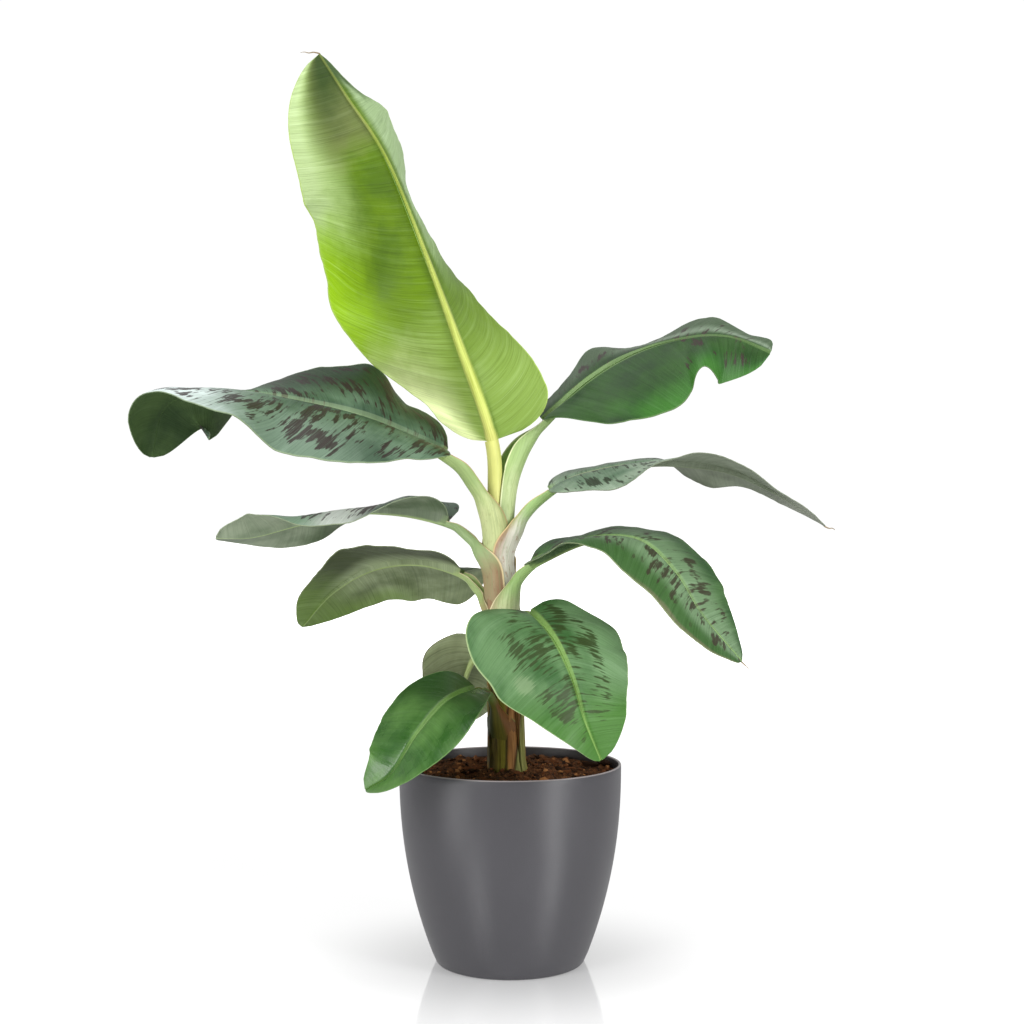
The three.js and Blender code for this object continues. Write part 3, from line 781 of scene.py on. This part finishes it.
# ---------------------------------------------------------------------------
# Blades. Thin leathery leaves, one to a stalk, either side of a channelled
# midrib. Veins run out from it to a waved margin; young ones are nearly plain.
BLADE_STEP = 3.0
RIB_COLUMNS = 5
HALF_COLUMNS = 19
TIP_RIB = 1.5  # half width of the midrib at the tip
BLADE_THICKNESS = 0.8
BLADE_FLESH_LIMIT = 9.5
NARROWEST = 0.6
BASE_ROUNDING = 0.08  # shares of the length
TIP_ROUNDING = 0.16
WAVES = (34.0, 15.0)  # lengths of the long and the short waves of the margin
FURROW_SPACING = 5.2
FURROW_LENGTH = 60.0


def opening(share):
    """Share of the full width that the rounded base and tip leave."""
    base = np.minimum(share / BASE_ROUNDING, 1)
    tip = np.minimum((1 - share) / TIP_ROUNDING, 1)
    return np.sqrt(1 - (1 - base) ** 2) * np.sqrt(1 - (1 - tip) ** 2)


def make_blade(name, leaf, seed, wave, furrow, skins):
    """A blade: a grid along its midrib, bent, waved and furrowed half by half."""
    last = len(leaf["path"]) - 1
    points, along, share, length = walk(leaf["path"], leaf["blade"], last, BLADE_STEP)
    side, up = leaf_frame(along, leaf["heading"])
    rib = leaf["stalk"][1] + (TIP_RIB - leaf["stalk"][1]) * share
    across_count = 2 * (RIB_COLUMNS + HALF_COLUMNS)
    piece, rows, columns = sheet(name + "_blade", len(share) - 1, across_count)
    corners = np.zeros((len(rows), 3))
    reach = np.zeros(len(rows))
    width_share = np.zeros(len(rows))
    flesh = np.full(len(rows), BLADE_THICKNESS)
    offset = columns - across_count // 2
    for half_name, sign in (("left", 1), ("right", -1)):
        wide, lift, arch = leaf[half_name]
        mine = (offset * sign >= 0)
        r, k = rows[mine], np.abs(offset[mine])
        place = share * (len(wide) - 1)
        width = rib + np.maximum(opening(share) * smooth(wide, place), NARROWEST)
        bend = math.radians(arch)
        start = np.radians(smooth(lift, place)) - bend / 2
        rib_share = (rib / width)[r]

        # the rib is a gutter below the fold; past it the half runs out on an arc
        in_rib = k <= RIB_COLUMNS
        t = np.minimum(k / RIB_COLUMNS, 1) * math.pi / 2
        free = np.where(in_rib, 0.0, (k - RIB_COLUMNS) / HALF_COLUMNS)
        at = rib_share + (1 - rib_share) * free
        slope = start[r] + bend * at
        across = width[r] * (np.sin(slope) - np.sin(start[r])) / bend
        rise = width[r] * (np.cos(start[r]) - np.cos(slope)) / bend
        depth = RIB_DEPTH * rib[r] * (1 - 0.8 * soft(share[r], 0.70, 0.95))
        across = np.where(in_rib, across * np.sin(t), across)
        rise = np.where(in_rib, rise * (1 - np.cos(t)) - depth * np.cos(t), rise)
        out = width[r] * at
        u = share[r] * length
        # waves of the margin and the shallow furrows between the lateral veins
        margin = np.array([
            noise.noise(Vector((a / WAVES[0], sign * 3.0 + seed, v * 0.8)))
            + 0.45 * noise.noise(Vector((a / WAVES[1], sign * 9.0 + seed, 4.0)))
            for a, v in zip(u, free)])
        vein_run = u - 0.2 * out - 0.0035 * out ** 2
        furrows = np.array([
            noise.noise(Vector((a / FURROW_SPACING, sign * 5.0 + seed, b / FURROW_LENGTH)))
            for a, b in zip(vein_run, out)])
        waved = wave * margin * free ** 1.8 * np.minimum(width[r] / 70, 1)
        furrowed = furrow * furrows * soft(free, 0.0, 0.12) * (1 - 0.35 * free)
        lift_by = (waved + furrowed) * opening(share)[r]
        normal = np.cos(slope)[:, None] * up[r] - sign * np.sin(slope)[:, None] * side[r]
        corners[mine] = (points[r] + (sign * across)[:, None] * side[r] + rise[:, None] * up[r]
                         + lift_by[:, None] * normal)
        reach[mine] = sign * out * np.where(in_rib, np.sin(t), 1)
        width_share[mine] = sign * free
        filled = BLADE_THICKNESS + (0.90 * depth - BLADE_THICKNESS) * np.cos(t) ** 1.5
        flesh[mine] = np.where(in_rib, filled, BLADE_THICKNESS)
    shape(piece, corners)
    chart(piece, "run", np.stack([share[rows] * length / 100, reach / 100], axis=1))
    chart(piece, "share", np.stack([share[rows], width_share], axis=1))
    thicken(piece, np.maximum(flesh, 0.5), BLADE_FLESH_LIMIT, skins)
    return piece


def blade_face(name, stalk_colour, rib_width, rib_share, seed, tones, roughness, shine=0.3,
               veins=0.5, rib_fade=0.3, fades=(), blotch=None, bare=(), scar=None):
    """One face of a blade. tones: its deep and its fresh colour, those of the midrib and of
    the very edge. fades: colour, two shares of the length it comes in between, two
    of the half width, and its half (1 left, -1 right, 0 both). blotch: colour, threshold, how
    soft its outline is, how many dashes stand side by side in 0.1 m, and the share of the half
    width past which they thin out. bare: half, and the two shares of the length between which
    the dashes come in, or go out if the first is the larger. scar: colour, share of the
    length and signed share of the half width."""
    deep, fresh, rib_colour, edge = tones
    face = Finish(name, roughness=roughness, specular=shine)
    run_dm, out_dm = face.chart("run")
    share_along, share_out = face.chart("share")
    out = face.reckon("ABSOLUTE", out_dm)
    off_rib = face.reckon("ABSOLUTE", share_out)
    hand = face.reckon("SIGN", out_dm)
    # the veins leave the midrib aslant and bend on towards the tip
    vein_run = face.minus(run_dm, face.times(out, 0.2))
    vein_run = face.minus(vein_run, face.times(face.times(out, out), 0.35))
    side_seed = face.plus(face.times(hand, 7.0), seed)

    def on_half(half):
        return face.step(face.times(hand, half), -0.1, 0.1)

    def along_veins(across_count, out_count, detail):
        where = face.point(vein_run, across_count, out, out_count, side_seed)
        return face.grain(where, detail=detail)

    streaks = along_veins(60, 1.5, 3)
    bands = along_veins(15, 0.8, 2)
    threads = along_veins(150, 2.5, 2)
    cloud = face.grain(face.point(run_dm, 1.6, out_dm, 2.2, seed), detail=4)
    drift = face.sway(cloud, 0.22)
    tone = face.mix(face.step(cloud, 0.3, 0.7), deep, fresh)
    for colour, start, end, inner, outer, half in fades:
        here = face.step(face.plus(share_along, drift), start, end)
        if inner != outer:
            here = face.times(here, face.step(face.plus(off_rib, drift), inner, outer))
        if half:
            here = face.times(here, on_half(half))
        tone = face.mix(here, tone, colour)
    # lit and dimmed copies of the tone, laid in bands along the veins: partly the veins' own paler and
    # darker colour, partly painted light and shade on the ridges between the furrows
    lit = face.toned(tone, 1.45, 0.85)
    dim = face.toned(tone, 0.62, 1.05)
    tone = face.mix(face.times(face.step(bands, 0.48, 0.72), 0.55 * veins), tone, lit)
    tone = face.mix(face.times(face.step(streaks, 0.45, 0.72), 0.75 * veins), tone, dim)
    tone = face.mix(face.times(face.step(threads, 0.52, 0.70), 0.40 * veins), tone, lit)
    if blotch:
        colour, threshold, softness, fine, thin = blotch
        groups = face.grain(face.point(run_dm, 3.0, out_dm, 3.4, seed + 3.0), detail=2)
        where = face.plus(along_veins(fine, 4.2, 3), face.sway(groups, 0.8))
        where = face.plus(where, face.sway(streaks, 0.22))
        where = face.minus(where, face.step(off_rib, thin, thin + 0.25, 0.0, 0.25))
        for half, start, end in bare:
            empty = face.times(on_half(half), face.step(share_along, start, end, 1.0, 0.0))
            where = face.minus(where, face.times(empty, 0.3))
        mark = face.times(face.step(where, threshold, threshold + softness), 0.92)
        tone = face.mix(mark, tone, face.mix(face.step(threads, 0.52, 0.80), colour, dim))
    if scar:
        colour, scar_along, scar_out = scar
        aside = face.times(face.minus(share_along, scar_along), 13.0)
        astray = face.times(face.minus(share_out, scar_out), 6.0)
        gap = face.plus(face.reckon("POWER", aside, 2.0), face.reckon("POWER", astray, 2.0))
        gap = face.plus(face.reckon("SQRT", gap), face.times(streaks, 1.6))
        tone = face.mix(face.step(gap, 1.2, 1.7, 0.55, 0.0), tone, colour)
    # the midrib takes the stalk's colour at its foot and fades on the way to the tip
    rib_dm = face.step(share_along, 0.0, 1.0, rib_width * rib_share, rib_width * rib_share * 0.3)
    at_foot = face.step(share_along, 0.0, 0.10, 1.0, 0.0)
    rib_dm = face.reckon("MAXIMUM", rib_dm, face.times(at_foot, rib_width * 1.05))
    near_rib = face.step(face.reckon("DIVIDE", out, rib_dm), 0.60, 1.20, 1.0, 0.0)
    near_rib = face.times(near_rib, face.step(share_along, 0.0, 1.0, 0.95, rib_fade))
    rib_tone = face.mix(at_foot, rib_colour, stalk_colour)
    rib_lines = face.grain(face.point(run_dm, 2.0, out_dm, 70.0, seed))
    rib_lines = face.step(rib_lines, 0.42, 0.68)
    rib_tone = face.mix(rib_lines, rib_tone, face.toned(rib_tone, 0.74, 1.1))
    tone = face.mix(near_rib, tone, rib_tone)
    face.set("Base Color", face.mix(face.step(off_rib, 0.975, 0.998), tone, edge))
    face.set("Roughness", face.step(cloud, 0.3, 0.7, roughness - 0.06, roughness + 0.08))
    face.relief(face.plus(bands, face.times(streaks, 0.35)), 0.0010, 0.6)
    return face.material


# wave and furrow: heights of the margin's waves and of the furrows, in millimetres; ribs:
# how much of the midrib's half width takes its own colour, on the upper and the under face
MAROON = (50, 34, 33)
BLADE_LOOKS = {
    "leaf_1": dict(
        wave=3.0, furrow=0.7, ribs=(0.4, 0.85),
        top=dict(
            tones=((84, 124, 48), (108, 150, 64), (170, 184, 96), (150, 176, 96)), roughness=0.42,
            fades=[((112, 140, 100), 0.55, 0.95, 0, 0, 0)]),
        # the under face's bright yellow-green, strongest on the right half, is partly painted light shining
        # through the young blade; the near-white fade at the foot of the right half is a painted sheen, and
        # the two dark green fades near the tip are painted shade in its hooded curl
        under=dict(
            tones=((73, 104, 2), (94, 126, 4), (206, 216, 116), (160, 186, 90)), roughness=0.5, veins=0.8,
            shine=0.16, rib_fade=0.15, fades=[((142, 186, 10), 0.0, 0.02, 0.4, 1.0, -1),
            ((140, 168, 78), 0.46, 0.1, 0, 0, -1), ((122, 150, 66), 0.46, 0.1, 0, 0, 1),
            ((240, 254, 182), 0.34, 0.08, 0.1, 0.8, -1), ((168, 190, 132), 0.48, 0.72, 0.3, 0.85, -1),
            ((150, 176, 126), 0.3, 0.62, 0.0, 0.25, 1), ((100, 112, 58), 0.7, 0.82, 0.85, 0.3, -1),
            ((46, 66, 20), 0.76, 0.94, 0.8, 0.2, -1), ((60, 88, 34), 0.84, 0.94, 0.95, 0.4, 1)])),
    "leaf_2": dict(
        wave=3.5, furrow=0.6, ribs=(0.89, 0.6),
        top=dict(
            tones=((46, 70, 50), (90, 116, 91), (166, 188, 144), (132, 150, 116)), roughness=0.4,
            # painted light and shade on the top face: its left half is painted lighter and near-white
            # towards the tip, a painted sheen, and its right half is painted darker, painted shade
            shine=0.22, rib_fade=0.7, veins=0.8, fades=[((98, 120, 100), 0.1, 0.4, 0.0, 0.5, 1),
            ((34, 54, 32), 0.7, 0.5, 0.05, 0.6, -1), ((230, 243, 242), 0.58, 0.84, 0, 0, 1)],
            blotch=((40, 24, 24), 0.505, 0.09, 22, 0.8)),
        under=dict(
            tones=((40, 62, 30), (66, 88, 48), (78, 104, 54), (104, 126, 78)), roughness=0.6, shine=0.15)),
    "leaf_3": dict(
        wave=3.5, furrow=0.6, ribs=(1.2, 0.6),
        top=dict(
            tones=((20, 50, 14), (42, 78, 26), (126, 156, 98), (96, 124, 76)), roughness=0.42, shine=0.26,
            # the greyish fade on the left half near the midrib is a painted highlight
            rib_fade=0.35, veins=0.75, fades=[((126, 144, 122), 0.3, 0.6, 0.0, 0.3, 1),
            ((70, 90, 64), -0.1, 0.0, 0.1, 0.6, 1), ((34, 76, 26), 0.55, 0.8, 0.2, 0.8, -1),
            ((52, 104, 34), 0.15, 0.35, 0.5, 1.0, -1)], blotch=(MAROON, 0.555, 0.12, 17, 0.55),
            bare=[(-1, 0.5, 0.62)]),
        under=dict(
            tones=((44, 82, 34), (72, 108, 56), (120, 148, 86), (120, 140, 90)), roughness=0.55,
            shine=0.2)),
    "leaf_4": dict(
        wave=2.5, furrow=0.5, ribs=(0.5, 0.6),
        top=dict(
            tones=((48, 74, 56), (92, 114, 94), (160, 174, 138), (160, 174, 140)), roughness=0.45,
            # the whitish fade over the middle of the blade is a painted highlight
            fades=[((200, 208, 198), 0.22, 0.42, 0, 0, 0), ((128, 160, 130), 0.48, 0.62, 0, 0, 0)],
            blotch=(MAROON, 0.54, 0.09, 19, 0.8)),
        under=dict(
            tones=((90, 106, 80), (140, 152, 128), (172, 194, 132), (150, 162, 130)), roughness=0.55,
            shine=0.25, rib_fade=0.8)),
    "leaf_5": dict(
        wave=2.5, furrow=0.5, ribs=(0.4, 0.45),
        top=dict(
            tones=((86, 112, 88), (148, 166, 144), (170, 184, 146), (130, 140, 116)), roughness=0.42,
            blotch=((44, 50, 36), 0.545, 0.1, 22, 0.8)),
        under=dict(
            tones=((80, 90, 70), (118, 128, 108), (122, 134, 102), (120, 128, 104)), roughness=0.55,
            shine=0.2, fades=[((128, 134, 120), 0.7, 0.95, 0, 0, 0)])),
    "leaf_6": dict(
        wave=3.0, furrow=0.6, ribs=(0.5, 0.6),
        top=dict(
            tones=((52, 74, 44), (84, 104, 66), (140, 156, 100), (120, 132, 90)), roughness=0.45,
            blotch=(MAROON, 0.66, 0.09, 19, 0.8)),
        under=dict(
            tones=((84, 98, 60), (136, 150, 112), (160, 182, 112), (126, 138, 96)), roughness=0.5,
            shine=0.25, veins=0.7, rib_fade=0.5, fades=[((52, 64, 28), -0.2, 0.0, 0.0, 0.5, 1),
            ((104, 128, 66), 0.35, 0.6, 0.4, 0.9, -1), ((98, 126, 54), 0.62, 0.95, 0, 0, 0)])),
    "leaf_7": dict(
        wave=2.8, furrow=0.6, ribs=(1.05, 0.6),
        top=dict(
            tones=((34, 70, 30), (70, 104, 58), (140, 172, 106), (140, 152, 112)), roughness=0.46,
            shine=0.18, rib_fade=0.8, veins=0.85, fades=[((100, 127, 92), 0.1, 0.5, 0.9, 0.2, 0),
            ((54, 88, 42), 0.24, 0.4, 0.3, 0.7, -1), ((92, 98, 68), 0.45, 0.65, 0.86, 0.97, -1)],
            blotch=((50, 44, 32), 0.535, 0.1, 16, 0.55)),
        under=dict(
            tones=((66, 92, 54), (96, 122, 80), (132, 152, 94), (140, 156, 108)), roughness=0.58,
            shine=0.2)),
    "leaf_8": dict(
        wave=3.0, furrow=0.6, ribs=(1.2, 0.6),
        top=dict(
            tones=((50, 88, 44), (90, 124, 80), (132, 168, 90), (152, 172, 122)), roughness=0.46, shine=0.2,
            # painted light: the left half is painted lighter out towards its margin, lifting the shade that
            # the lamps leave on it
            rib_fade=0.85, veins=0.7, fades=[((104, 138, 94), -0.2, 0.0, 0.15, 0.5, 1),
            ((50, 92, 40), 0.14, 0.0, 0, 0, 0), ((66, 110, 44), 0.55, 0.85, 0, 0, 0)],
            blotch=((46, 60, 26), 0.48, 0.12, 27, 0.48), bare=[(1, 0.9, 0.74), (-1, 0.9, 0.74)],
            scar=((122, 144, 106), 0.57, -0.62)),
        under=dict(
            tones=((70, 98, 56), (98, 124, 78), (132, 152, 94), (140, 156, 108)), roughness=0.58,
            shine=0.2)),
    "leaf_9": dict(
        wave=2.0, furrow=0.7, ribs=(0.5, 1.2),
        top=dict(
            tones=((52, 80, 48), (80, 106, 68), (126, 144, 92), (116, 132, 90)), roughness=0.45),
        under=dict(
            tones=((114, 126, 90), (158, 170, 128), (176, 194, 126), (132, 126, 104)), roughness=0.5,
            veins=1.0, shine=0.3, rib_fade=0.6)),
    "leaf_10": dict(
        wave=2.0, furrow=0.8, ribs=(1.35, 0.6),
        top=dict(
            tones=((38, 82, 24), (84, 126, 58), (124, 162, 88), (104, 142, 76)), roughness=0.3, shine=0.45,
            rib_fade=0.9, fades=[((38, 74, 24), 0.46, 0.22, 0, 0, 0)]),
        under=dict(
            tones=((62, 92, 50), (90, 120, 74), (126, 150, 92), (130, 154, 98)), roughness=0.58,
            shine=0.2)),
}

# dried threads at the tips of three blades: five places of each, in millimetres
DRY_TIPS = {
    "leaf_1": [(-201, -42, 968), (-207, -41, 970.5), (-213, -40, 969), (-218, -40, 971), (-222, -39, 970)],
    "leaf_5": [(336, -20, 469), (341, -19, 466), (345, -18, 467), (348, -18, 465), (348, -18, 464.6)],
    "leaf_7": [(235, -105, 332), (239, -104, 328), (241, -104, 327), (243, -103, 324), (243, -103, 323.6)],
}
DRY_TIP_RADIUS = 0.0009


def dry_tip(name, places):
    """A thin dried thread from the tip of a blade, drawn as a tapering round wire."""
    nothing_selected()
    bpy.ops.curve.primitive_nurbs_path_add()
    wire = bpy.context.object
    spline = wire.data.splines[0]
    for index, (point, (x, y, z)) in enumerate(zip(spline.points, places)):
        point.co = (x * MM, y * MM, z * MM, 1)
        point.radius = 1 - 0.8 * index / (len(places) - 1)
    spline.use_endpoint_u = True
    spline.order_u = 3
    wire.data.bevel_depth = DRY_TIP_RADIUS
    wire.data.bevel_resolution = 1
    wire.data.use_fill_caps = True
    bpy.ops.object.convert(target="MESH")
    wire.name = wire.data.name = name + "_dry_tip"
    straw = Finish(name + "_dry_tip", roughness=0.8, specular=0.2)
    strands = straw.grain(straw.place(), scale=600, detail=3)
    straw.set("Base Color", straw.mix(strands, (92, 74, 52), (168, 150, 118)))
    wire.data.materials.append(straw.material)
    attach(wire, "root")


for name, places in DRY_TIPS.items():
    dry_tip(name, places)

for number, (name, look) in enumerate(BLADE_LOOKS.items()):
    leaf = LEAVES[name]
    stalk_colour = STALK_LOOKS[name][0]
    rib = leaf["stalk"][1] / 100
    seed = number * 1.7
    skins = [blade_face(f"{name}_{face_name}", stalk_colour, rib, share, seed, **look[face_name])
             for face_name, share in zip(("top", "under"), look["ribs"])]
    rim = Finish(f"{name}_rim", roughness=0.6)
    rim_grain = rim.grain(rim.place(), scale=300, detail=3)
    rim.set("Base Color", rim.mix(rim_grain, look["top"]["tones"][3], look["under"]["tones"][0]))
    skins.append(rim.material)
    blade = make_blade(name, leaf, seed, look["wave"], look["furrow"], skins)
    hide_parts(name + "_blade")
    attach(blade, "root")


# ---------------------------------------------------------------------------
# Floor, light and camera. A pale glossy sweep in a white room, with a large soft
# box on either side, a low one below each and one above, and a level lens in front.
ROOM_SEEN = 1.03
ROOM_LIGHT = 0.55
FLOOR_BELOW = 0.0004
FLOOR_GLOW = 0.36
FLOOR_GLOW_NEAR = 0.03
FLOOR_GLOW_FAR = 4.0
FLOOR_BOUNCE = 0.24
CAMERA_PLACE = (0.002, -1.711, 0.484)
CAMERA_LENS = 55.55

nothing_selected()
bpy.ops.mesh.primitive_plane_add(size=60, location=(0, 0, -FLOOR_BELOW))
bpy.ops.object.transform_apply(location=True)
floor = bpy.context.object
floor.name = "floor"
sweep = Finish("white_sweep", roughness=0.10)
sweep.set("Metallic", 0.3)
sweep.set("Coat Weight", 1.0)
sweep.set("Coat Roughness", 0.06)
sweep_grain = sweep.grain(sweep.place(), scale=3, detail=2)
sweep.set("Base Color", sweep.mix(sweep_grain, (0.78, 0.78, 0.78, 1), (0.80, 0.80, 0.80, 1)))
# the sweep glows for the lens, less round the pot, which paints a soft shadow at its foot; FLOOR_BOUNCE is
# a glow for every ray, painted bounce light on the plant from below
from_pot = sweep.node("ShaderNodeVectorMath", {0: sweep.place()}, output=1, operation="LENGTH")
glow = sweep.step(from_pot, 0.05, 0.27, FLOOR_GLOW_NEAR, FLOOR_GLOW)
glow = sweep.plus(glow, sweep.step(from_pot, 0.5, 5.0, 0.0, FLOOR_GLOW_FAR))
to_lens = sweep.node("ShaderNodeLightPath", {})
sweep.set("Emission Color", (1, 1, 1, 1))
sweep.set("Emission Strength", sweep.plus(sweep.times(to_lens, glow), FLOOR_BOUNCE))
floor.data.materials.append(sweep.material)

room = bpy.data.worlds.new("white_room")
room.use_nodes = True
bpy.context.scene.world = room
room_nodes, room_links = room.node_tree.nodes, room.node_tree.links
wall = room_nodes["Background"]
wall.inputs["Color"].default_value = (1, 1, 1, 1)
room_ray = room_nodes.new("ShaderNodeLightPath")
room_level = room_nodes.new("ShaderNodeMapRange")
room_level.inputs["To Min"].default_value = ROOM_LIGHT
room_level.inputs["To Max"].default_value = ROOM_SEEN
room_links.new(room_ray.outputs["Is Camera Ray"], room_level.inputs["Value"])
room_links.new(room_level.outputs["Result"], wall.inputs["Strength"])


def soft_box(name, place, aim, width, height, power):
    lamp = bpy.data.lights.new(name, "AREA")
    lamp.shape = "RECTANGLE"
    lamp.size, lamp.size_y = width, height
    lamp.energy = power
    box = bpy.data.objects.new(name, lamp)
    box.location = place
    box.rotation_euler = (Vector(aim) - Vector(place)).to_track_quat("-Z", "Y").to_euler()
    bpy.context.collection.objects.link(box)


soft_box("box_left", (-1.10, -1.45, 1.10), (0, 0, 0.40), 0.65, 0.9, 15.5)
soft_box("box_right", (1.35, -1.25, 1.10), (0, 0, 0.40), 0.60, 0.9, 19.5)
soft_box("low_left", (-1.35, -0.95, 0.27), (0, 0, 0.16), 0.65, 0.5, 4.4)
soft_box("low_right", (1.20, -1.20, 0.27), (0, 0, 0.16), 0.55, 0.5, 6.0)
soft_box("box_above", (-0.3, -0.3, 2.3), (0, 0, 0.4), 1.6, 1.6, 16)

lens = bpy.data.cameras.new("camera")
lens.lens = CAMERA_LENS
lens.sensor_width = 36
camera = bpy.data.objects.new("camera", lens)
camera.location = CAMERA_PLACE
camera.rotation_euler = (math.radians(90), 0, 0)
bpy.context.collection.objects.link(camera)
bpy.context.scene.camera = camera
bpy.context.scene.view_settings.view_transform = "Standard"
